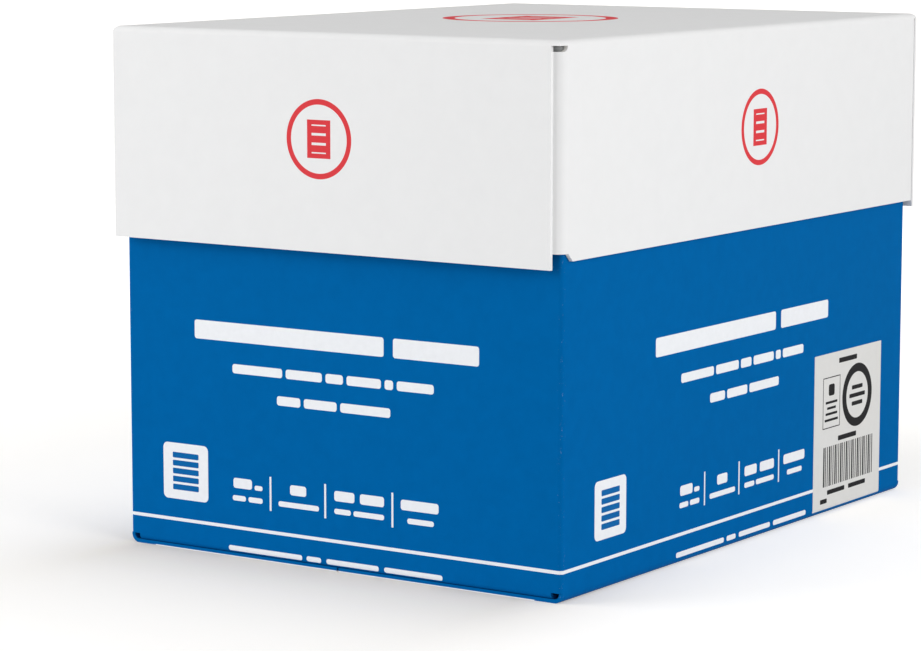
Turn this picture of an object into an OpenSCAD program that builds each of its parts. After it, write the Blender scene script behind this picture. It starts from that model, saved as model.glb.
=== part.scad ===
// Lidded carton of wrapped reams of copy paper: a folded tray-shaped base, a lid that lifts
// straight off it, and the packs stacked inside.
// X runs across the narrow ends, Y along the length, Z up. The origin is on the floor under the middle.

/* [Paper] */
// Width of a sheet
paper_w = 216; // [200:1:222]
// Length of a sheet
paper_l = 279; // [250:1:292]
// Height of one wrapped ream
ream_h = 46.7; // [30:0.1:60]
// Number of reams in the stack
ream_count = 5; // [3:1:6]

/* [Ream wrapper] */
// Thickness of the wrapper
wrap_t = 0.3; // [0.2:0.05:0.5]
// Radius of a wrapped ream's long edges
wrap_edge_r = 1.6; // [0.8:0.1:3]
// Width of the long overlap under each ream
wrap_seam_w = 46; // [20:1:80]
// How far the side panels fold in over a ream's end
tuck_l = 34; // [10:1:60]
// How far the top and bottom flaps reach over a ream's end
end_flap_l = 29; // [14:0.5:29.5]

/* [Board] */
// Thickness of the corrugated board
board_t = 1.7; // [1.2:0.1:3]
/* [Base] */
// Inside radius of the upright folds
wall_crease_r = 0.3; // [0.2:0.1:2.5]
// Room between the stack and each long wall
side_room = 8; // [2:0.5:20]
// Room between the stack and each narrow wall
end_room = 16.6; // [2:0.1:30]
// Free height between the stack and the lid
headroom = 0.3; // [0.2:0.1:8]
// Inside radius of the fold of the inner floor flaps
floor_crease_r = 0.6; // [0.1:0.1:1.5]
// Gap between the two outer floor flaps
floor_seam = 1; // [0.4:0.1:6]
// How far the outer floor flaps stop short of the narrow ends
floor_setback = 0.8; // [0.2:0.1:3]
// Width of the slot at each lower corner
floor_slot_w = 5.3; // [4.5:0.1:9]
// Height of the slot at each lower corner
floor_slot_h = 2.9; // [2.2:0.1:6]
// Gap at the joint corner, where the sheet's two ends meet
joint_gap = 0.8; // [0.3:0.1:4]
// Width of the glued tab inside the joint corner
tab_w = 35; // [15:1:60]
// How far the tab tapers, and how far it stops short of the rim
tab_taper = 9; // [2:0.5:20]

/* [Lid] */
// Inside radius of the folds round the top
crease_r = 1.3; // [0.5:0.1:2.5]
// Depth of the lid's panels at the narrow ends
end_drop = 95.9; // [40:1:130]
// How much shorter the lid's long panels are
side_rise = 3.2; // [0:0.1:10]
// Clearance between the lid and the base at the long sides
side_gap = 0.3; // [0.3:0.1:3]
// Clearance between the lid and the base at the narrow ends
end_gap = 2.7; // [0.3:0.1:6]
// How far each end panel stops short of the lid's side at its right edge
end_inset = 4.4; // [2:0.1:6]
// How far it stops short at its left edge
end_inset_left = 0.2; // [0.1:0.1:6]
// Inside radius of the upright folds at the end panels' right edges
corner_r = 2.8; // [0.5:0.1:4]
// Inside radius of the upright folds at their left edges
corner_r_left = 0.3; // [0.2:0.1:4]
// Length of the corner flaps behind the end panels
corner_flap_l = 55; // [20:1:90]
// Taper of the corner flaps
corner_flap_taper = 6; // [1:0.5:15]
// How far the corner flaps stop short of the long panels' lower edge
flap_relief = 3.5; // [1:0.1:8]
// Depth below the top at which the slot at each right edge starts
corner_slot_top = 2.4; // [2:0.1:5]
// Height of that slot
corner_slot_h = 2.6; // [1:0.1:5]
// How far that slot reaches round the fold
corner_slot_l = 4.4; // [3:0.1:8]
// How far in the slope below it, at the foot of the fold, starts
corner_step_l = 5.5; // [4:0.1:12]

/* [Hidden] */
$fn = 96;

ream_w = paper_w + 2 * wrap_t;
ream_l = paper_l + 2 * wrap_t;
end_layers = 3;
pack_h = ream_h - wrap_t;
pack_l = ream_l + 2 * end_layers * wrap_t;

wall_out_r = wall_crease_r + board_t;
crease_out_r = crease_r + board_t;
floor_t = 2 * board_t;
stack_h = ream_count * ream_h;
lid_z = floor_t + stack_h + headroom;
base_h = lid_z - crease_r;
carton_w = ream_w + 2 * (side_room + board_t);
carton_l = pack_l + 2 * (end_room + board_t);
carton_h = lid_z + board_t;

inner_fold_r = floor_crease_r + board_t;
outer_fold_r = inner_fold_r + board_t;
wall_z = board_t + floor_slot_h;
floor_flap_l = (carton_w - floor_seam) / 2;

lid_w = carton_w + 2 * (board_t + side_gap);
lid_l = carton_l + 2 * (2 * board_t + end_gap);
side_drop = end_drop - side_rise;
flap_face_y = lid_l / 2 - board_t;
slot_end_y = flap_face_y - corner_slot_l;
step_y = flap_face_y - corner_step_l;

spare = 1;

// A flat rectangle with round corners
module rounded(w, l, r) {
    square([w - 2 * r, l], center = true);
    square([w, l - 2 * r], center = true);
    for (x = [-1, 1], y = [-1, 1])
        translate([x * (w / 2 - r), y * (l / 2 - r)]) circle(r);
}

// A quarter of a ring of board, in the corner where both coordinates are positive
module fold(inside_r) {
    intersection() {
        difference() {
            circle(inside_r + board_t);
            circle(inside_r);
        }
        square(inside_r + board_t);
    }
}

// Drawn as (X, Z) and drawn out along Y
module along_y(l) {
    rotate([90, 0, 0]) linear_extrude(l, center = true) children();
}

// Drawn as (Y, Z) and drawn out along X
module along_x(l) {
    rotate([90, 0, 90]) linear_extrude(l, center = true) children();
}

module both_x() {
    children();
    mirror([1, 0, 0]) children();
}

module both_y() {
    children();
    mirror([0, 1, 0]) children();
}

// The foot of a wall with the flap folded from it. The wall's outer face is at zero
module floor_flap(reach, inside_r, top) {
    out_r = inside_r + board_t;
    translate([-out_r, out_r]) rotate(-90) fold(inside_r);
    translate([-board_t, out_r]) square([board_t, top - out_r]);
    translate([-reach, 0]) square([reach - out_r, board_t]);
}

// The four walls, with the joint corner left open for the glued tab
module walls() {
    linear_extrude(base_h - wall_z) difference() {
        rounded(carton_w, carton_l, wall_out_r);
        rounded(carton_w - 2 * board_t, carton_l - 2 * board_t, wall_crease_r);
        translate([-carton_w / 2 - spare, carton_l / 2 - wall_out_r])
            square([wall_out_r + board_t + spare, wall_out_r + spare]);
        translate([-carton_w / 2 - spare, carton_l / 2 - wall_out_r - joint_gap])
            square([board_t + spare, joint_gap + spare]);
    }
    joint_x = -carton_w / 2 + board_t;
    linear_extrude(base_h - wall_z)
        translate([joint_x + wall_out_r, carton_l / 2 - wall_out_r]) rotate(90) fold(wall_crease_r);
    tab_h = base_h - wall_z - 2 * tab_taper;
    translate([joint_x, carton_l / 2 - wall_out_r, tab_taper]) rotate([90, 0, 90]) linear_extrude(board_t)
        polygon([[0, 0], [0, tab_h], [-tab_w, tab_h - tab_taper], [-tab_w, tab_taper]]);
}

module carton_base() {
    color("#0061A5") {
        translate([0, 0, wall_z]) walls();
        both_x() along_y(carton_l - 2 * floor_setback) translate([carton_w / 2, 0])
            floor_flap(floor_flap_l, outer_fold_r - board_t, wall_z);
        both_y() along_x(carton_w - 2 * floor_slot_w) translate([carton_l / 2, board_t])
            floor_flap(floor_flap_l, floor_crease_r, floor_slot_h);
    }
}

// The outline of a lid across its top, with the top at zero
module lid_outline(w, drop, r) {
    translate([-w / 2, -drop]) square([w, drop - r]);
    translate([-w / 2 + r, -drop]) square([w - 2 * r, drop]);
    for (x = [-1, 1])
        translate([x * (w / 2 - r), -r]) circle(r);
}

// A block with rounded edges round its top
module lid_block(w, l, drop, r) {
    intersection() {
        along_y(l) lid_outline(w, drop, r);
        along_x(w) lid_outline(l, drop, r);
    }
}

// Puts what is drawn at the corner where both coordinates are positive at each end panel's left edge
module left_corners() {
    for (turn = [0, 180]) rotate(turn) children();
}

module right_corners() {
    left_corners() mirror([0, 1, 0]) children();
}

// What is cut away for an upright fold, and from the end panel beside it
module corner_room(inside_r, inset) {
    out_r = inside_r + board_t;
    room_h = end_drop + spare - corner_slot_top;
    translate([lid_w / 2 - crease_out_r, flap_face_y - out_r, -end_drop - spare])
        cube([crease_out_r + spare, out_r, room_h]);
    translate([lid_w / 2 - inset, flap_face_y, -end_drop - spare])
        cube([inset + spare, board_t + spare, room_h]);
}

// The top with its four panels, cut back at the corners
module lid_panels() {
    difference() {
        lid_block(lid_w, lid_l, end_drop, crease_out_r);
        translate([0, 0, -board_t])
            lid_block(lid_w - 2 * board_t, lid_l - 2 * board_t, end_drop, crease_r);
        both_x() both_y() translate([lid_w / 2 - crease_out_r, 0, -end_drop - spare])
            cube([crease_out_r + spare, flap_face_y, side_rise + spare]);
        right_corners() corner_room(corner_r, end_inset);
        left_corners() corner_room(corner_r_left, end_inset_left);
    }
}

// The upright fold at one corner and the flap glued behind the end panel
module corner_flap(inside_r) {
    out_r = inside_r + board_t;
    fold_x = lid_w / 2 - out_r;
    fold_h = side_drop - corner_slot_top;
    translate([fold_x, flap_face_y - out_r, -side_drop]) linear_extrude(fold_h) fold(inside_r);
    translate([fold_x, flap_face_y, -side_drop]) rotate([90, 0, 0]) linear_extrude(board_t)
        polygon([
            [0, 0],
            [-corner_flap_l, flap_relief + corner_flap_taper],
            [-corner_flap_l, fold_h - corner_slot_h - corner_flap_taper],
            [0, fold_h]
        ]);
}

// What is cut away at the top and foot of a corner: a slot with a round end, and a step with a slope
module corner_cuts() {
    slot_bottom = -corner_slot_top - corner_slot_h;
    step_z = flap_relief - side_drop;
    reach_x = corner_flap_l + corner_r + board_t + 2 * spare;
    translate([lid_w / 2 + spare - reach_x / 2, 0, 0]) along_x(reach_x) {
        translate([slot_end_y + corner_slot_h, slot_bottom])
            square([corner_slot_l - corner_slot_h, corner_slot_h]);
        intersection() {
            translate([slot_end_y + corner_slot_h, -corner_slot_top]) circle(corner_slot_h);
            translate([slot_end_y, slot_bottom]) square(corner_slot_h);
        }
        polygon([
            [flap_face_y, step_z],
            [step_y, step_z],
            [step_y - flap_relief, -side_drop],
            [step_y - flap_relief, -end_drop - spare],
            [flap_face_y, -end_drop - spare]
        ]);
    }
}

module carton_lid() {
    color("#ECECEC") translate([0, 0, carton_h]) difference() {
        union() {
            lid_panels();
            right_corners() corner_flap(corner_r);
            left_corners() corner_flap(corner_r_left);
        }
        right_corners() corner_cuts();
    }
}

// One end of the wrapper: side panels first, then the lower flap, then the upper flap
module wrapped_end() {
    half_w = ream_w / 2 - wrap_edge_r;
    bottom = wrap_t;
    along_end(0) for (side = [0, 1]) mirror([side, 0])
        translate([half_w - tuck_l, bottom + wrap_edge_r]) square([tuck_l, pack_h - 2 * wrap_edge_r]);
    along_end(1) end_flap(half_w, bottom);
    along_end(2) translate([0, 2 * bottom + pack_h]) mirror([0, 1]) end_flap(half_w, bottom);
}

// Drawn as (X, Z) on a ream's end, in the wrapper's given layer, and let into the ream by the spare length
module along_end(layer) {
    translate([0, ream_l / 2 + (layer + 1) * wrap_t, 0]) rotate([90, 0, 0])
        linear_extrude((layer + 1) * wrap_t + spare) children();
}

module end_flap(half_w, bottom) {
    low = bottom + wrap_edge_r;
    polygon([
        [-half_w, low],
        [half_w, low],
        [half_w - end_flap_l, low + end_flap_l],
        [end_flap_l - half_w, low + end_flap_l]
    ]);
}

module ream(number) {
    color("#F4F5F7") translate([0, 0, floor_t + (number - 1) * ream_h]) {
        translate([0, 0, wrap_t + pack_h / 2]) along_y(ream_l) rounded(ream_w, pack_h, wrap_edge_r);
        translate([-wrap_seam_w / 2, -ream_l / 2, 0]) cube([wrap_seam_w, ream_l, wrap_t + spare]);
        both_y() wrapped_end();
    }
}

carton_base();
carton_lid();
for (i = [1 : ream_count])
    ream(i);
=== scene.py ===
"""Looks of a lidded carton of paper reams: board, print, label, wrappers, floor, lamps and camera."""
import math

import bmesh
import bpy
from bpy.props import FloatProperty, FloatVectorProperty, PointerProperty
from mathutils import Matrix, Vector


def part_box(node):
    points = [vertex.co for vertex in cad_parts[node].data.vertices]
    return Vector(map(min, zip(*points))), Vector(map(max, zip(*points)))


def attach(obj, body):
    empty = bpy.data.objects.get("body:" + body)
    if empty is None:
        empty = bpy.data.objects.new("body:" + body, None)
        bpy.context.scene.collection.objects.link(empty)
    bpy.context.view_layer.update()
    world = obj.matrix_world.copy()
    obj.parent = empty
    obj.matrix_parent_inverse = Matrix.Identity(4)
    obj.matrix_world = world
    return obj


bl_info = {
    "name": "Carton of paper reams",
    "version": (1, 0, 0),
    "blender": (4, 5, 0),
    "location": "3D View > Sidebar > Carton",
    "description": "Prints, labels and lights a lidded carton of paper reams",
    "category": "Object",
}

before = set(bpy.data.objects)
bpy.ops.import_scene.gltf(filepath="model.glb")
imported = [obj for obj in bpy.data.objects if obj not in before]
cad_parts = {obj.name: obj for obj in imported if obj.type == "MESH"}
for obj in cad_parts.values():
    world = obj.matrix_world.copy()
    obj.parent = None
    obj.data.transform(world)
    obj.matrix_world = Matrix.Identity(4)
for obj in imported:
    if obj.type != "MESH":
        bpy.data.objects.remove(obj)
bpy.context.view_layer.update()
MM = 0.001

BASE_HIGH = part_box("carton_base")[1]
LID_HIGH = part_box("carton_lid")[1]
HALF_W, HALF_L = BASE_HIGH.x, BASE_HIGH.y
REAMS = sorted(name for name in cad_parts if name.startswith("ream_"))

# The board and its outer paper, in mm
BOARD_THICKNESS = 1.7
LINER = 0.4

# Outside radii of the base's folds in mm: upright, and at the foot of the ends and of the long sides
UPRIGHT_FOLD = 2.0
END_FOOT_FOLD = 2.3
SIDE_FOOT_FOLD = 4.0
# One radius for the whole foot, between the two, where the ink's depth is judged
FOOT_FOLD = 3.3
# Height at which the foot's folds start, in mm
FOOT_TOP = 4.0

# Outside radii of the lid's folds in mm: round its top, and upright at the soft corners
TOP_FOLD = 3.0
LID_UPRIGHT_FOLD = 4.5


def linear(hex_colour):
    """An sRGB hex colour as linear red, green, blue and alpha."""
    parts = [int(hex_colour[i:i + 2], 16) / 255 for i in (1, 3, 5)]
    return tuple(c / 12.92 if c <= 0.04045 else ((c + 0.055) / 1.055) ** 2.4 for c in parts) + (1.0,)


def colour_property(name, description, hex_colour):
    """A colour that the user can change."""
    return FloatVectorProperty(name=name, description=description, size=4, min=0, max=1,
                               subtype="COLOR", default=linear(hex_colour))


class CARTON_PG_board(bpy.types.PropertyGroup):
    blue: colour_property("Blue", "Flood print on the base", "#0063A7")
    white: colour_property("White", "Coated face of the lid's board", "#F0F0F0")
    bare: colour_property("Bare face", "White face of the base's board, where no ink covers it", "#F4F6F9")
    kraft: colour_property("Kraft", "Inner face of the base's board", "#B48A5E")
    lining: colour_property("Lining", "Uncoated white inner face of the lid's board", "#EAE8E1")
    medium: colour_property("Flutes", "Wavy sheet between the faces, as seen at a cut edge", "#C9A67B")
    pale_medium: colour_property("Pale flutes", "Wavy sheet in the lid's paler board", "#F4F2EE")
    red: colour_property("Red", "Round mark on the lid", "#E0444A")
    flute_pitch: FloatProperty(name="Flute pitch", description="Distance from one flute to the next",
                               default=3.3 * MM, min=1 * MM, max=10 * MM, unit="LENGTH", precision=5)
    mark_radius: FloatProperty(name="Mark", description="Radius of the round mark on the lid's panels",
                               default=17.5 * MM, min=5 * MM, max=40 * MM, unit="LENGTH", precision=4)


class CARTON_PG_print(bpy.types.PropertyGroup):
    film: FloatProperty(name="Film", description="Thickness of the printed film and of the label",
                        default=0.06 * MM, min=0.02 * MM, max=0.2 * MM, unit="LENGTH", precision=6)
    line_height: FloatProperty(name="Line height", description="Height of the white line above the floor",
                               default=13.7 * MM, min=8 * MM, max=20 * MM, unit="LENGTH", precision=4)
    line_width: FloatProperty(name="Line width", description="Width of the white line round the base",
                              default=1.5 * MM, min=0.5 * MM, max=5 * MM, unit="LENGTH", precision=4)
    square_side: FloatProperty(name="Square", description="Side of the white printed square",
                              default=26 * MM, min=10 * MM, max=40 * MM, unit="LENGTH", precision=4)
    square_radius: FloatProperty(name="Square corners", description="Radius of the square's corners",
                                default=2.4 * MM, min=0.5 * MM, max=8 * MM, unit="LENGTH", precision=4)
    side_scale: FloatProperty(name="Side scale", description="Size of the sides' print against the ends'",
                              default=1.042, min=0.5, max=1.3, subtype="FACTOR")
    label_paper: colour_property("Label", "Paper of the label", "#E2E1DE")
    ink: colour_property("Ink", "Black ink on the label", "#1B1B1D")


class CARTON_PG_wrapper(bpy.types.PropertyGroup):
    paper: colour_property("Wrapper", "Coated wrapping paper of the reams", "#F1F3F7")


class CARTON_PG_stage(bpy.types.PropertyGroup):
    floor: colour_property("Floor", "Studio floor", "#E8E8E8")
    floor_radius: FloatProperty(name="Floor", description="Radius of the studio floor",
                                default=14.0, min=2, max=40, unit="LENGTH")
    sky: FloatProperty(name="Room light", description="Strength of the soft light from all round",
                       default=0.462, min=0, max=2, subtype="FACTOR")
    key: FloatProperty(name="Key lamp", description="Power of the broad lamp beside the camera",
                       default=50.8, min=0, max=500, unit="POWER")
    side: FloatProperty(name="Side lamp", description="Power of the broad lamp on the right",
                        default=33.2, min=0, max=500, unit="POWER")


def feed(tree, socket, value):
    """Gives a socket its number or colour, or links a node or another socket to it."""
    if isinstance(value, bpy.types.Node):
        value = next(s for s in value.outputs if s.enabled)
    if isinstance(value, bpy.types.NodeSocket):
        tree.links.new(value, socket)
    elif value is not None:
        socket.default_value = value


def add(tree, kind, *values, sockets=(), **settings):
    """One shader node with its settings. Values are nodes, sockets or numbers, for its sockets in order."""
    node = tree.nodes.new("ShaderNode" + kind)
    for name, setting in settings.items():
        setattr(node, name, setting)
    live = [s for s in node.inputs if s.enabled]
    for socket, value in zip(live, values):
        feed(tree, socket, value)
    for name, value in dict(sockets).items():
        feed(tree, node.inputs[name], value)
    return node


def new_material(name, specular=0.2, **finish):
    """A material with one Principled shader, whose plain numbers are set on its own sockets."""
    material = bpy.data.materials.new(name)
    material.use_nodes = True
    shader = material.node_tree.nodes["Principled BSDF"]
    for socket, value in {"Specular_IOR_Level": specular, **finish}.items():
        shader.inputs[socket.replace("_", " ")].default_value = value
    return material, material.node_tree, shader


def millimetres(tree):
    """The point's place on the model in millimetres, as a vector and as x, y and z."""
    place = add(tree, "TexCoord").outputs["Object"]
    point = add(tree, "VectorMath", place, sockets={"Scale": 1 / MM}, operation="SCALE")
    axes = add(tree, "SeparateXYZ", point)
    return point, axes.outputs["X"], axes.outputs["Y"], axes.outputs["Z"]


def region(tree, *limits, softness=0.06):
    """1 where each value lies between its low and high limit in mm, else 0. None leaves that end open."""
    mask = 1.0
    for value, low, high in limits:
        for edge, below, above in ((low, 0.0, 1.0), (high, 1.0, 0.0)):
            if edge is not None:
                step = add(tree, "MapRange", value, edge - softness, edge + softness, below, above)
                mask = add(tree, "Math", mask, step, operation="MULTIPLY")
    return mask


def paint(tree, colour, *layers):
    """The colour with each layer's colour over it where the layer's mask is 1, the last layer on top."""
    for mask, over in layers:
        colour = add(tree, "Mix", mask, colour, over, data_type="RGBA")
    return colour


def depth_under_skin(tree, across, along, down, half_width, half_length, radius):
    """How deep the point lies, in mm, under a box with rounded edges. Without down the box has no end."""
    reach = [add(tree, "Math", add(tree, "Math", across, operation="ABSOLUTE"), half_width - radius,
                 operation="SUBTRACT"),
             add(tree, "Math", add(tree, "Math", along, operation="ABSOLUTE"), half_length - radius,
                 operation="SUBTRACT")]
    if down is not None:
        reach.append(add(tree, "Math", down, radius, operation="ADD"))
    outside = [add(tree, "Math", r, 0.0, operation="MAXIMUM") for r in reach]
    far = add(tree, "VectorMath", add(tree, "CombineXYZ", *outside), operation="LENGTH").outputs["Value"]
    near = reach[0]
    for r in reach[1:]:
        near = add(tree, "Math", near, r, operation="MAXIMUM")
    near = add(tree, "Math", near, 0.0, operation="MINIMUM")
    return add(tree, "Math", radius, add(tree, "Math", far, near, operation="ADD"), operation="SUBTRACT")


def flute_turn(tree, x, y, pitch):
    """How far round its wave the wavy sheet is, along either wall, as an angle."""
    along = add(tree, "Math", x, y, operation="ADD")
    return add(tree, "Math", along, 2 * math.pi / pitch, operation="MULTIPLY")


def cut_edge(tree, x, y, depth, pitch, medium, hollow_shade):
    """Colour of a cut edge: the wavy sheet runs between the two faces, with painted shade in the gaps beside
    it.
    """
    swing, half_sheet = 0.27, 0.2
    wave = add(tree, "Math", flute_turn(tree, x, y, pitch), operation="SINE")
    middle = add(tree, "Math", wave, swing, BOARD_THICKNESS / 2, operation="MULTIPLY_ADD")
    off = add(tree, "Math", add(tree, "Math", depth, middle, operation="SUBTRACT"), operation="ABSOLUTE")
    # The gaps beside the sheet take the flutes' colour darkened by this factor: painted shade
    shade = tuple(c * hollow_shade for c in medium[:3]) + (1.0,)
    return paint(tree, medium, (region(tree, (off, half_sheet, None), softness=0.1), shade))


def mottle(tree, point, colour, amount, size):
    """Slightly uneven colour, in patches of about size millimetres."""
    patches = add(tree, "TexNoise", sockets={"Vector": point, "Scale": 1 / size, "Detail": 3.0,
                                             "Roughness": 0.6})
    light = add(tree, "MapRange", patches, 0.3, 0.7, 1 - amount, 1 + amount)
    return add(tree, "VectorMath", colour, sockets={"Scale": light}, operation="SCALE")


def relief(tree, shader, height, strength, distance=MM):
    """Bump of the given height on the whole material."""
    bump = add(tree, "Bump", sockets={"Strength": strength, "Distance": distance, "Height": height})
    feed(tree, shader.inputs["Normal"], bump)


def board_relief(tree, shader, point, x, y, pitch):
    """Relief of the board's face: fibres, flutes that show faintly through, and a slow warp, in mm."""
    fibre_size, warp_size = 0.5, 45
    fibre_height, flute_height, warp_height = 0.010, 0.006, 0.5
    fibres = add(tree, "TexNoise", sockets={"Vector": point, "Scale": 1 / fibre_size, "Detail": 4.0,
                                            "Roughness": 0.7})
    flutes = add(tree, "Math", flute_turn(tree, x, y, pitch), operation="COSINE")
    warp = add(tree, "TexNoise", sockets={"Vector": point, "Scale": 1 / warp_size, "Detail": 2.0})
    height = add(tree, "Math", fibres, fibre_height,
                 add(tree, "Math", flutes, flute_height, operation="MULTIPLY"), operation="MULTIPLY_ADD")
    height = add(tree, "Math", warp, warp_height, height, operation="MULTIPLY_ADD")
    relief(tree, shader, height, 0.6)


def printed_base_board(board):
    """Corrugated board with a white face, flood printed in one blue under a satin varnish.

    The varnish is nearly matt. The ink is a little uneven, and paler where a fold has stretched it. It
    stops a little way under the floor flaps and just short of the rim. The inside is plain brown kraft,
    but at the notches of the foot the blue also covers kraft and cut edges, as painted shade there.
    """
    pitch = board.flute_pitch / MM
    material, tree, shader = new_material("printed_corrugated_board", IOR=1.47, specular=0.005)
    point, x, y, z = millimetres(tree)
    down = add(tree, "Math", 0.0, z, operation="SUBTRACT")
    depth = depth_under_skin(tree, x, y, down, HALF_W / MM, HALF_L / MM, FOOT_FOLD)
    ax, ay = (add(tree, "Math", v, operation="ABSOLUTE") for v in (x, y))
    half_w, half_l = HALF_W / MM, HALF_L / MM
    notch_height, notch_width, notch_length = 5.2, 6.0, 12.0
    ink_under, bare_rim, fold_width = 14.0, 4.0, 2.2
    skin = region(tree, (depth, None, LINER))
    foot = region(tree, (z, None, 2 * BOARD_THICKNESS - 0.2), (ay, half_l - 3.5, None))
    # Near each notch of the foot the blue covers kraft and cut edges too: painted shade in that recess
    notch = region(tree, (z, None, notch_height), (ay, half_l - notch_length, None),
                   (ax, half_w - notch_width, None))
    under = region(tree, (z, None, 0.3), (ax, None, half_w - ink_under))
    rim = region(tree, (z, BASE_HIGH.z / MM - bare_rim, None))
    inside = region(tree, (z, BOARD_THICKNESS + 0.2, None), (ax, None, half_w - BOARD_THICKNESS + 0.1),
                    (ay, None, half_l - BOARD_THICKNESS + 0.1))

    blue = mottle(tree, point, tuple(board.blue[:3]), 0.035, 6.0)
    bare = mottle(tree, point, tuple(board.bare[:3]), 0.03, 4.0)
    kraft = mottle(tree, point, tuple(board.kraft[:3]), 0.12, 1.6)
    rubbed = add(tree, "TexNoise", sockets={"Vector": point, "Scale": 0.9, "Detail": 5.0, "Roughness": 0.75})
    rubbed = add(tree, "MapRange", rubbed, 0.62, 0.75, 0.0, 0.5)
    at_fold = region(tree, (ax, half_w - fold_width, None), (ay, half_l - fold_width, None), softness=0.8)
    worn = add(tree, "Math", at_fold, rubbed, operation="MULTIPLY")
    face = paint(tree, blue, (worn, board.bare), (under, bare), (rim, bare))
    # Cut edge, with painted shade in the gaps between the flutes
    edge = cut_edge(tree, x, y, depth, pitch, board.medium, 0.35)
    # The last layer is the notches' painted shade, in the face's colours
    colour = paint(tree, edge, (skin, face), (foot, face), (inside, kraft), (notch, face))
    feed(tree, shader.inputs["Base Color"], colour)
    raw_board, varnish = 0.85, 0.46
    feed(tree, shader.inputs["Roughness"], add(tree, "MapRange", skin, 0.0, 1.0, raw_board, varnish))
    board_relief(tree, shader, point, x, y, pitch)
    return material


def page_mark(tree, u, v, radius, where, ink, paper):
    """Layers of a plain round mark on one face: a circle, and in it a page with plain written lines."""
    across = add(tree, "VectorMath", add(tree, "CombineXYZ", u, v, 0.0), operation="LENGTH")
    au, av = (add(tree, "Math", w, operation="ABSOLUTE") for w in (u, v))
    row = 0.24 * radius
    off_row = add(tree, "Math", v, row, operation="PINGPONG")
    off_row = add(tree, "Math", off_row, row / 2, operation="SUBTRACT")
    off_row = add(tree, "Math", off_row, operation="ABSOLUTE")
    circle = region(tree, where, (across, 0.86 * radius, radius))
    page = region(tree, where, (au, None, 0.36 * radius), (av, None, 0.48 * radius))
    line = region(tree, where, (off_row, None, 0.032 * radius), (au, None, 0.22 * radius),
                  (av, None, 0.36 * radius))
    return (circle, ink), (page, ink), (line, paper)


def coated_lid_board(board):
    """Corrugated board with a coated white face, cut and folded to a lid, with one red mark on each panel.

    The coating gives a smooth, nearly matt white. Cut edges are pale, and the inside is an uncoated white
    liner.
    """
    pitch = board.flute_pitch / MM
    half_w, half_l, top = LID_HIGH.x / MM, LID_HIGH.y / MM, LID_HIGH.z / MM
    material, tree, shader = new_material("coated_white_board", IOR=1.47, specular=0.01, Roughness=0.55)
    point, x, y, z = millimetres(tree)
    up = add(tree, "Math", z, top, operation="SUBTRACT")
    depth = depth_under_skin(tree, x, y, up, half_w, half_l, TOP_FOLD)
    flap_depth = depth_under_skin(tree, x, y, None, half_w, half_l - BOARD_THICKNESS,
                                  LID_UPRIGHT_FOLD)
    ax, ay = (add(tree, "Math", v, operation="ABSOLUTE") for v in (x, y))
    skin = region(tree, (depth, None, LINER))
    fold = region(tree, (flap_depth, None, LINER), (ax, half_w - LID_UPRIGHT_FOLD - 1.0, None))
    under = (depth, BOARD_THICKNESS - 0.1, None)
    room = region(tree, under, (ax, None, half_w - BOARD_THICKNESS + 0.1),
                  (ay, None, half_l - 2 * BOARD_THICKNESS + 0.1))
    behind = region(tree, under, (ax, None, half_w - LID_UPRIGHT_FOLD),
                    (ay, None, half_l - BOARD_THICKNESS + 0.1))

    white = mottle(tree, point, tuple(board.white[:3]), 0.008, 9.0)
    radius = board.mark_radius / MM
    ink_depth = 0.15
    on_end, on_side = (ay, half_l - ink_depth, None), (ax, half_w - ink_depth, None)
    on_top = (z, top - ink_depth, None)
    marks = []
    # Each mark's face, the place of its middle on that face's two axes, and its radius
    for where, (u, u_middle), (v, v_middle), size in ((on_end, (x, -4.0), (z, 192.5), radius),
                                                      (on_side, (y, 6.0), (z, 192.5), radius),
                                                      (on_top, (x, -7.5), (y, 9.5), 2.4 * radius)):
        u = add(tree, "Math", u, u_middle, operation="SUBTRACT")
        v = add(tree, "Math", v, v_middle, operation="SUBTRACT")
        marks += page_mark(tree, u, v, size, where, board.red, white)
    face = paint(tree, white, *marks)
    lining = mottle(tree, point, tuple(board.lining[:3]), 0.04, 1.6)
    # Cut edge, with painted shade in the gaps between the flutes
    edge = cut_edge(tree, x, y, depth, pitch, board.pale_medium, 0.88)
    colour = paint(tree, edge, (skin, face), (fold, face), (room, lining), (behind, lining))
    feed(tree, shader.inputs["Base Color"], colour)
    board_relief(tree, shader, point, x, y, pitch)
    return material


def wrapping_paper(wrapper):
    """White wrapping paper with a thin moisture-proof coating, pulled tight round a stack of sheets.

    The coating is smoother than board and wrinkles a little near the folded ends.
    """
    wrinkle_width, wrinkle_height, fibre_height = 7, 0.5, 0.006
    material, tree, shader = new_material("coated_wrapping_paper", IOR=1.5, Roughness=0.36)
    point, _, y, _ = millimetres(tree)
    feed(tree, shader.inputs["Base Color"], mottle(tree, point, tuple(wrapper.paper[:3]), 0.012, 12.0))
    ay = add(tree, "Math", y, operation="ABSOLUTE")
    near_end = add(tree, "MapRange", ay, 100.0, 139.0, 0.15, 1.0)
    stretched = add(tree, "VectorMath", point, (1.0, 0.22, 1.0), operation="MULTIPLY")
    wrinkles = add(tree, "TexNoise", sockets={"Vector": stretched, "Scale": 1 / wrinkle_width, "Detail": 3.0,
                                              "Roughness": 0.55, "Distortion": 0.6})
    fibres = add(tree, "TexNoise", sockets={"Vector": point, "Scale": 1.8, "Detail": 3.0})
    height = add(tree, "Math", add(tree, "Math", wrinkles, near_end, operation="MULTIPLY"), wrinkle_height,
                 add(tree, "Math", fibres, fibre_height, operation="MULTIPLY"), operation="MULTIPLY_ADD")
    relief(tree, shader, height, 0.5)
    return material


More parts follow.
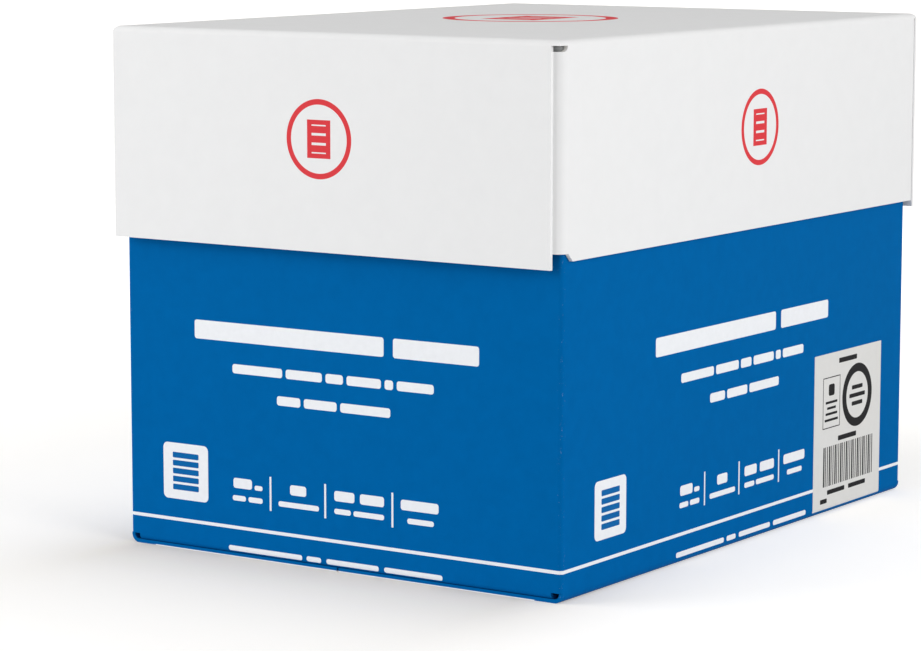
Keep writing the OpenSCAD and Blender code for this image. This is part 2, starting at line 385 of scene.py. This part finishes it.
def flat_finish(name, colour, roughness, unevenness, patch):
    """Ink, bare liner or label paper: a thin flat film, slightly uneven, with the fibres under it."""
    material, tree, shader = new_material(name, IOR=1.47, Roughness=roughness, specular=0.05)
    point = millimetres(tree)[0]
    feed(tree, shader.inputs["Base Color"], mottle(tree, point, tuple(colour[:3]), unevenness, patch))
    fibres = add(tree, "TexNoise", sockets={"Vector": point, "Scale": 2.0, "Detail": 4.0, "Roughness": 0.7})
    relief(tree, shader, fibres, 0.4, 0.01 * MM)
    return material


# Each face of the base: its place, the directions of a reader's right and of outwards, and its foot's fold
FACES = {
    "front": (Vector((0, -HALF_L, 0)), Vector((1, 0, 0)), Vector((0, -1, 0)), END_FOOT_FOLD),
    "right": (Vector((HALF_W, 0, 0)), Vector((0, 1, 0)), Vector((1, 0, 0)), SIDE_FOOT_FOLD),
    "back": (Vector((0, HALF_L, 0)), Vector((-1, 0, 0)), Vector((0, 1, 0)), END_FOOT_FOLD),
    "left": (Vector((-HALF_W, 0, 0)), Vector((0, -1, 0)), Vector((-1, 0, 0)), SIDE_FOOT_FOLD),
}
ENDS = ("front", "back")
UP = Vector((0, 0, 1))

# What is printed or stuck on a face is placed in mm from the face's middle, rightwards, and from the floor.
# Rows of words on an end: the middle's height, the bars' height, and where each word starts and stops
ROWS = (
    (102.8, 8.6, ((-79, 26), (31, 76))),
    (86.4, 4.2, ((-57.5, -29.5), (-27.5, -7.5), (-5.5, 4), (6, 24.5), (26.5, 31), (33, 52.5))),
    (74.0, 4.2, ((-32.5, -19.5), (-17.5, 0.5), (2.5, 29.5))),
    (34.2, 4.6, ((-57.5, -47), (-25.5, -16.5), (-1, 10), (13, 26), (35, 55))),
    (33.0, 2.2, ((-45.5, -41),)),
    (27.3, 2.4, ((-58, -50.5), (-49, -41), (-32, -9.5), (-1, 8), (9.5, 26), (38.5, 52.5))),
    (4.0, 2.4, ((-60.5, -19), (-16.5, -8.5), (-5.5, 23), (26, 57))),
)
# Upright lines between the lower words of an end: their middles, half width, and lower and upper ends
DIVIDERS = (-36.5, -6, 30.5)
DIVIDER_HALF = 0.5
DIVIDER_SPAN = (23.5, 39)

# Middles of the white squares
END_SQUARE = (-85.1, 36.2)
SIDE_SQUARE = (-119.6, 35.6)
# The bars of the stack in each square: spacing, then half length, half height and corner radius
STACK_PITCH = 3.7
STACK_BAR = (7.5, 1.3, 0.5)

# The label and the bars on it: left, right, low, high and corner radius
LABEL = (66.5, 136.0, 2.6, 78.6, 0.4)
LABEL_BARS = (
    (91.5, 110.2, 72.7, 75.1, 0.4),
    (81.2, 87.2, 57.8, 63.4, 1.2),
    (91.5, 110.5, 34.6, 37.0, 0.4),
    (81.0, 99.0, 9.4, 11.6, 0.4),
    (103.0, 121.0, 9.4, 11.6, 0.4),
    (73.9, 80.8, 5.6, 7.8, 0.4),
)
# The outlined box on the label: left, right, low, high and its line's width
LABEL_BOX = (75.4, 93.0, 42.0, 67.0, 0.45)
# The bars in the box: their middle, half height and radius, and each one's height and half length
BOX_BARS = (84.2, 0.6, 0.3, ((54.6, 6.0), (51.8, 4.5), (49.0, 6.0), (46.0, 6.8)))
# The ring on the label: its middle and its outer and inner radius. The bars in it are given as the box's are
LABEL_RING = (111.0, 54.8, 15.6, 11.4)
RING_BARS = (111.0, 1.0, 0.5, ((58.8, 5.6), (54.8, 8.2), (50.8, 5.6)))
# The row of stripes on the label: number, first left edge, spacing, low, high, wide width and narrow width
STRIPES = (27, 76.6, 1.95, 13.6, 33.0, 1.25, 0.75)


def sheet(bm, left, right, low, high):
    """A flat rectangle, drawn in millimetres on the face's own plane. Returns its corners."""
    place = Matrix.Translation(((left + right) / 2 * MM, (low + high) / 2 * MM, 0))
    size = Matrix.Diagonal(((right - left) * MM, (high - low) * MM, 1, 1))
    return bmesh.ops.create_grid(bm, x_segments=1, y_segments=1, size=0.5, matrix=place @ size)["verts"]


def bar(bm, left, right, low, high, radius):
    """A flat bar with rounded corners, in millimetres."""
    corners = sheet(bm, left, right, low, high)
    if radius:
        bmesh.ops.bevel(bm, geom=corners, offset=radius * MM, segments=5, profile=0.5, affect="VERTICES",
                        material=-1)


def centred_bars(bm, middle, half_height, radius, rows):
    """Bars one above the other about one middle. Each row is a height and half a length."""
    for height, reach in rows:
        bar(bm, middle - reach, middle + reach, height - half_height, height + half_height, radius)


def ring(bm, u, v, outer, inner):
    """A flat ring, in millimetres."""
    place = Matrix.Translation((u * MM, v * MM, 0))
    rim = bmesh.ops.create_circle(bm, segments=64, radius=outer * MM, matrix=place)
    hole = bmesh.ops.create_circle(bm, segments=64, radius=inner * MM, matrix=place)
    edges = {e for v in rim["verts"] + hole["verts"] for e in v.link_edges}
    bmesh.ops.bridge_loops(bm, edges=list(edges))


def outlined_box(bm, left, right, low, high, line):
    """A rectangle drawn as a line, in millimetres."""
    middle = sheet(bm, left, right, low, high)[0].link_faces[:]
    bmesh.ops.inset_region(bm, faces=middle, thickness=line * MM, use_boundary=True, use_even_offset=True)
    bmesh.ops.delete(bm, geom=middle, context="FACES")


def wrap_foot(bm, radius):
    """Bends what is drawn below the top of the foot's fold round that fold, in a few flat steps."""
    top, steps = FOOT_TOP * MM, 8
    for step in range(1, steps + 1):
        bmesh.ops.bisect_plane(bm, geom=bm.verts[:] + bm.edges[:] + bm.faces[:],
                               plane_co=(0, top * step / steps, 0), plane_no=(0, 1, 0))
    for v in bm.verts:
        drop = max(top - v.co.y, 0)
        v.co.z -= radius * MM - math.sqrt((radius * MM) ** 2 - drop ** 2)


def print_piece(name, drawn, film, lift, material):
    """One thin piece of the drawings on the base's faces. drawn pairs a face's name with a function."""
    whole = bmesh.new()
    for face, draw in drawn:
        flat = bmesh.new()
        draw(flat)
        bmesh.ops.recalc_face_normals(flat, faces=flat.faces)
        for f in flat.faces:
            if f.normal.z < 0:
                f.normal_flip()
        bmesh.ops.solidify(flat, geom=flat.faces[:], thickness=film)
        low = min(v.co.z for v in flat.verts)
        bmesh.ops.translate(flat, verts=flat.verts, vec=(0, 0, lift - low))
        place, reader_right, out, radius = FACES[face]
        wrap_foot(flat, radius)
        turn = Matrix((reader_right, UP, out)).transposed().to_4x4()
        bmesh.ops.transform(flat, matrix=Matrix.Translation(place) @ turn, verts=flat.verts)
        part = bpy.data.meshes.new("part")
        flat.to_mesh(part)
        flat.free()
        whole.from_mesh(part)
        bpy.data.meshes.remove(part)
    return finished(whole, name, material, "carton")


def finished(bm, name, material, body):
    """The modelled piece as an object with its material, on its body."""
    bmesh.ops.remove_doubles(bm, verts=bm.verts, dist=1e-7)
    bmesh.ops.recalc_face_normals(bm, faces=bm.faces)
    mesh = bpy.data.meshes.new(name)
    bm.to_mesh(mesh)
    bm.free()
    piece = bpy.data.objects.new(name, mesh)
    bpy.context.scene.collection.objects.link(piece)
    mesh.materials.append(material)
    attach(piece, body)
    return piece


def dress_node(name, material):
    """Gives a CAD node its material."""
    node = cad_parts[name]
    if not node.material_slots:
        node.data.materials.append(None)
    for place in node.material_slots:
        place.material = material


class CARTON_OT_base_board(bpy.types.Operator):
    """Print the base's board"""
    bl_idname = "carton.base_board"
    bl_label = "Base board"

    def execute(self, context):
        dress_node("carton_base", printed_base_board(context.scene.carton_board))
        return {"FINISHED"}


class CARTON_OT_lid_board(bpy.types.Operator):
    """Coat the lid's board and print its mark"""
    bl_idname = "carton.lid_board"
    bl_label = "Lid board"

    def execute(self, context):
        dress_node("carton_lid", coated_lid_board(context.scene.carton_board))
        return {"FINISHED"}


class CARTON_OT_wrappers(bpy.types.Operator):
    """Give the reams their wrapping paper"""
    bl_idname = "carton.wrappers"
    bl_label = "Ream wrappers"

    def execute(self, context):
        paper = wrapping_paper(context.scene.carton_wrapper)
        for name in REAMS:
            dress_node(name, paper)
        return {"FINISHED"}


class CARTON_OT_word_bars(bpy.types.Operator):
    """Print the white rows and dividers on the base's four faces"""
    bl_idname = "carton.word_bars"
    bl_label = "Word bars"

    def execute(self, context):
        sizes, board = context.scene.carton_print, context.scene.carton_board

        def draw(scale, bm):
            for height, thick, words in ROWS:
                # The long sides' rows are a little nearer together
                drop = min(0.045 * height - 0.7, 2.0) if scale != 1 else 0.0
                low, high = height - drop - thick / 2, height - drop + thick / 2
                for start, stop in words:
                    bar(bm, start * scale, stop * scale, low, high, min(1.2, 0.42 * thick))
            for u in DIVIDERS:
                bar(bm, u * scale - DIVIDER_HALF, u * scale + DIVIDER_HALF, *DIVIDER_SPAN, 0.2)

        scales = {face: 1 if face in ENDS else sizes.side_scale for face in FACES}
        drawn = [(face, lambda bm, scale=scale: draw(scale, bm)) for face, scale in scales.items()]
        white = flat_finish("bare_white_liner", board.bare, 0.6, 0.02, 3.0)
        print_piece("word_bars", drawn, sizes.film, 0.0, white)
        return {"FINISHED"}


class CARTON_OT_squares(bpy.types.Operator):
    """Print the white squares, each with a stack of as many bars as there are reams"""
    bl_idname = "carton.squares"
    bl_label = "Printed squares"

    def execute(self, context):
        sizes, board = context.scene.carton_print, context.scene.carton_board
        side, radius = sizes.square_side / MM, sizes.square_radius / MM
        middle = {face: END_SQUARE if face in ENDS else SIDE_SQUARE for face in FACES}
        half_length, half_height, bar_radius = STACK_BAR

        def draw_square(face, bm):
            u, v = middle[face]
            bar(bm, u - side / 2, u + side / 2, v - side / 2, v + side / 2, radius)

        def draw_stack(face, bm):
            u, v = middle[face]
            rows = [(v + (i - (len(REAMS) - 1) / 2) * STACK_PITCH, half_length) for i in range(len(REAMS))]
            centred_bars(bm, u, half_height, bar_radius, rows)

        white = flat_finish("bare_square_liner", board.bare, 0.6, 0.02, 3.0)
        blue = flat_finish("square_ink", board.blue, 0.46, 0.03, 6.0)
        print_piece("print_squares", [(f, lambda bm, f=f: draw_square(f, bm)) for f in FACES],
                    sizes.film, 0.0, white)
        print_piece("square_stacks", [(f, lambda bm, f=f: draw_stack(f, bm)) for f in FACES],
                    sizes.film, sizes.film, blue)
        return {"FINISHED"}


class CARTON_OT_white_line(bpy.types.Operator):
    """Print the white line round the foot of the base"""
    bl_idname = "carton.white_line"
    bl_label = "White line"

    def execute(self, context):
        sizes = context.scene.carton_print
        bm = bmesh.new()
        size = Matrix.Diagonal((2 * HALF_W, 2 * HALF_L, sizes.line_width, 1))
        bmesh.ops.create_cube(bm, size=1, matrix=Matrix.Translation((0, 0, sizes.line_height)) @ size)
        corners = [e for e in bm.edges if abs(e.verts[0].co.z - e.verts[1].co.z) > sizes.line_width / 2]
        bmesh.ops.bevel(bm, geom=corners, offset=UPRIGHT_FOLD * MM, segments=16, profile=0.5, affect="EDGES",
                        material=-1)
        flat = [f for f in bm.faces if abs(f.normal.z) > 0.5]
        bmesh.ops.delete(bm, geom=flat, context="FACES")
        # The sheet's two ends meet at this corner, and the line stops at each
        end_gap = 0.8
        joint_x = (UPRIGHT_FOLD + BOARD_THICKNESS) * MM - HALF_W
        joint_y = HALF_L - (UPRIGHT_FOLD + end_gap) * MM
        bmesh.ops.bisect_plane(bm, geom=bm.verts[:] + bm.edges[:] + bm.faces[:],
                               plane_co=(0, joint_y, 0), plane_no=(0, 1, 0))
        bmesh.ops.bisect_plane(bm, geom=bm.verts[:] + bm.edges[:] + bm.faces[:],
                               plane_co=(joint_x, 0, 0), plane_no=(1, 0, 0))
        middles = {f: f.calc_center_median() for f in bm.faces}
        gone = [f for f, middle in middles.items() if middle.x < joint_x and middle.y > joint_y]
        bmesh.ops.delete(bm, geom=gone, context="FACES")
        for f in bm.faces:
            if f.normal.dot(f.calc_center_median()) < 0:
                f.normal_flip()
        bmesh.ops.solidify(bm, geom=bm.faces[:], thickness=-sizes.film)
        white = flat_finish("bare_line_liner", context.scene.carton_board.bare, 0.6, 0.02, 3.0)
        finished(bm, "white_line", white, "carton")
        return {"FINISHED"}


class CARTON_OT_label(bpy.types.Operator):
    """Stick the paper label on the right side, with its plain marks"""
    bl_idname = "carton.label"
    bl_label = "Label"

    def execute(self, context):
        sizes = context.scene.carton_print

        def draw_paper(bm):
            bar(bm, *LABEL)

        def draw_marks(bm):
            for place in LABEL_BARS:
                bar(bm, *place)
            outlined_box(bm, *LABEL_BOX)
            centred_bars(bm, *BOX_BARS)
            ring(bm, *LABEL_RING)
            centred_bars(bm, *RING_BARS)
            number, first, pitch, low, high, wide, narrow = STRIPES
            for i in range(number):
                left = first + i * pitch
                bar(bm, left, left + (narrow if i % 3 else wide), low, high, 0)

        paper = flat_finish("label_paper", sizes.label_paper, 0.55, 0.012, 5.0)
        ink = flat_finish("label_ink", sizes.ink, 0.5, 0.1, 2.0)
        thickness = 2 * sizes.film
        print_piece("label", [("right", draw_paper)], thickness, 0.0, paper)
        print_piece("label_marks", [("right", draw_marks)], sizes.film / 2, thickness, ink)
        return {"FINISHED"}


# The camera that the photograph was taken with, found from the carton's corners
CAMERA_PLACE = Vector((835.5, -1294.7, 304.6)) * MM
CAMERA_YAW = math.radians(34.106)
CAMERA_PITCH = math.radians(7.849)
CAMERA_ROLL = math.radians(-0.030)
FOCAL_PIXELS = 3238.1
IMAGE_WIDTH = 921
SENSOR = 36.0

# The floor's own light where the camera sees it, as ranges of a place in metres and of the light there:
# from the front backwards, from the left to the right, and from the middle outwards. It is painted lower
# before the front, as painted shade, and higher on the right of the carton, as painted light.
LIFT_BACKWARDS = (-0.2, -0.08, 0.398, 0.455)
LIFT_RIGHTWARDS = (0.1, 0.16, 0.0, 0.045)
LIFT_OUTWARDS = (0.3, 1.3, 0.0, 0.42)
# Warm, so that the paper looks neutral although the blue base throws its colour on it: a painted tint of
# light
LIFT_COLOUR = (1.03, 1.0, 0.95)
# The painted shade on the floor before the front: its middle and half width, how much faster it fades
# sideways, the distance in metres over which it fades, and what it takes of red, green and blue
SHADE_MIDDLE = -0.006
SHADE_HALF = 0.102
SHADE_SIDEWAYS = 2.35
SHADE_REACH = 0.074
SHADE_COLOUR = (0.292, 0.322, 0.372)

# Both lamps are square, and aim at the middle of the carton
LAMP_SIDE = 1.8
LAMP_AIM = Vector((0, 0, 0.12))
KEY_PLACE = Vector((-2.1, -1.7, 0.7))
SIDE_PLACE = Vector((2.45, -0.35, 1.0))


def background_rays(tree):
    """1 on the rays that show the background: straight from the camera, or by way of gloss or glass."""
    rays = add(tree, "LightPath")
    seen = rays.outputs["Is Camera Ray"]
    for kind in ("Is Glossy Ray", "Is Transmission Ray"):
        seen = add(tree, "Math", seen, rays.outputs[kind], operation="MAXIMUM")
    return seen


def studio_floor(stage):
    """Matt paper sweep, which the camera sees lifted to white, less so before the front: painted shade."""
    material, tree, shader = new_material("paper_sweep", specular=0.05, Roughness=0.9,
                                          Base_Color=tuple(stage.floor))
    place = add(tree, "TexCoord").outputs["Object"]
    axes = add(tree, "SeparateXYZ", place)
    far = add(tree, "VectorMath", place, operation="LENGTH")
    lift = add(tree, "Math", add(tree, "MapRange", axes.outputs["Y"], *LIFT_BACKWARDS),
               add(tree, "MapRange", far, *LIFT_OUTWARDS), operation="ADD")
    # Painted light: more light on the floor to the right of the carton
    rightwards = add(tree, "MapRange", axes.outputs["X"], *LIFT_RIGHTWARDS)
    lift = add(tree, "Math", lift, rightwards, operation="ADD")
    white = add(tree, "VectorMath", LIFT_COLOUR, sockets={"Scale": lift}, operation="SCALE")
    # Painted shade: a soft patch before the front, fading sideways and forwards, taken off the floor's light
    beside = add(tree, "Math", axes.outputs["X"], SHADE_MIDDLE, operation="SUBTRACT")
    beside = add(tree, "Math", beside, operation="ABSOLUTE")
    beside = add(tree, "Math", beside, SHADE_HALF, operation="SUBTRACT")
    beside = add(tree, "Math", beside, 0.0, operation="MAXIMUM")
    beside = add(tree, "Math", beside, SHADE_SIDEWAYS, operation="MULTIPLY")
    before = add(tree, "Math", axes.outputs["Y"], HALF_L, operation="ADD")
    away = add(tree, "VectorMath", add(tree, "CombineXYZ", beside, before), operation="LENGTH")
    near = add(tree, "Math", add(tree, "Math", away, -SHADE_REACH, operation="DIVIDE"), operation="EXPONENT")
    shade = add(tree, "VectorMath", SHADE_COLOUR, sockets={"Scale": near}, operation="SCALE")
    glow = add(tree, "Emission", add(tree, "VectorMath", white, shade, operation="SUBTRACT"),
               background_rays(tree))
    fibres = add(tree, "TexNoise", sockets={"Vector": place, "Scale": 900.0, "Detail": 2.0})
    relief(tree, shader, fibres, 0.2, 0.05 * MM)
    feed(tree, tree.nodes["Material Output"].inputs["Surface"], add(tree, "AddShader", shader, glow))
    return material


class CARTON_OT_stage(bpy.types.Operator):
    """Lay the floor, hang the lamps and set the camera"""
    bl_idname = "carton.stage"
    bl_label = "Stage"

    def execute(self, context):
        scene, stage = context.scene, context.scene.carton_stage
        bm = bmesh.new()
        bmesh.ops.create_circle(bm, cap_ends=True, segments=96, radius=stage.floor_radius)
        mesh = bpy.data.meshes.new("floor")
        bm.to_mesh(mesh)
        bm.free()
        mesh.materials.append(studio_floor(stage))
        floor = bpy.data.objects.new("floor", mesh)
        scene.collection.objects.link(floor)

        world = bpy.data.worlds.new("studio_room")
        scene.world = world
        world.use_nodes = True
        tree = world.node_tree
        tree.nodes.clear()
        strength = add(tree, "MapRange", background_rays(tree), 0.0, 1.0, stage.sky, 1.0)
        room = add(tree, "Background", (1.0, 1.0, 1.0, 1.0), strength)
        add(tree, "OutputWorld", room)

        lamps = ("key_lamp", stage.key, KEY_PLACE), ("side_lamp", stage.side, SIDE_PLACE)
        for name, power, place in lamps:
            light = bpy.data.lights.new(name, "AREA")
            light.energy = power
            light.size = LAMP_SIDE
            lamp = bpy.data.objects.new(name, light)
            turn = (LAMP_AIM - place).to_track_quat("-Z", "Y").to_matrix().to_4x4()
            lamp.matrix_world = Matrix.Translation(place) @ turn
            scene.collection.objects.link(lamp)

        lens = bpy.data.cameras.new("photo_camera")
        lens.sensor_width = SENSOR
        lens.lens = FOCAL_PIXELS / IMAGE_WIDTH * SENSOR
        lens.clip_end = 60.0
        camera = bpy.data.objects.new("photo_camera", lens)
        camera.matrix_world = (Matrix.Translation(CAMERA_PLACE) @ Matrix.Rotation(CAMERA_YAW, 4, "Z")
                               @ Matrix.Rotation(math.pi / 2 - CAMERA_PITCH, 4, "X")
                               @ Matrix.Rotation(-CAMERA_ROLL, 4, "Z"))
        scene.collection.objects.link(camera)
        scene.camera = camera
        scene.view_settings.view_transform = "Standard"
        return {"FINISHED"}


OPERATORS = (CARTON_OT_stage, CARTON_OT_base_board, CARTON_OT_lid_board, CARTON_OT_wrappers,
             CARTON_OT_word_bars, CARTON_OT_squares, CARTON_OT_white_line, CARTON_OT_label)
GROUPS = {"carton_board": CARTON_PG_board, "carton_print": CARTON_PG_print,
          "carton_wrapper": CARTON_PG_wrapper, "carton_stage": CARTON_PG_stage}


class CARTON_PT_sidebar(bpy.types.Panel):
    """Lists the carton's pieces and their settings"""
    bl_label = "Carton of reams"
    bl_idname = "CARTON_PT_sidebar"
    bl_space_type = "VIEW_3D"
    bl_region_type = "UI"
    bl_category = "Carton"

    def draw(self, context):
        for operator in OPERATORS:
            self.layout.operator(operator.bl_idname)
        for name, group in GROUPS.items():
            box = self.layout.box()
            for setting in group.__annotations__:
                box.prop(getattr(context.scene, name), setting)


def register():
    for group in GROUPS.values():
        bpy.utils.register_class(group)
    for name, group in GROUPS.items():
        setattr(bpy.types.Scene, name, PointerProperty(type=group))
    for operator in (*OPERATORS, CARTON_PT_sidebar):
        bpy.utils.register_class(operator)


def unregister():
    for operator in (CARTON_PT_sidebar, *reversed(OPERATORS)):
        bpy.utils.unregister_class(operator)
    for name, group in GROUPS.items():
        delattr(bpy.types.Scene, name)
        bpy.utils.unregister_class(group)


def main():
    register()
    for operator in OPERATORS:
        group, name = operator.bl_idname.split(".")
        getattr(getattr(bpy.ops, group), name)()


if __name__ == "__main__":
    main()
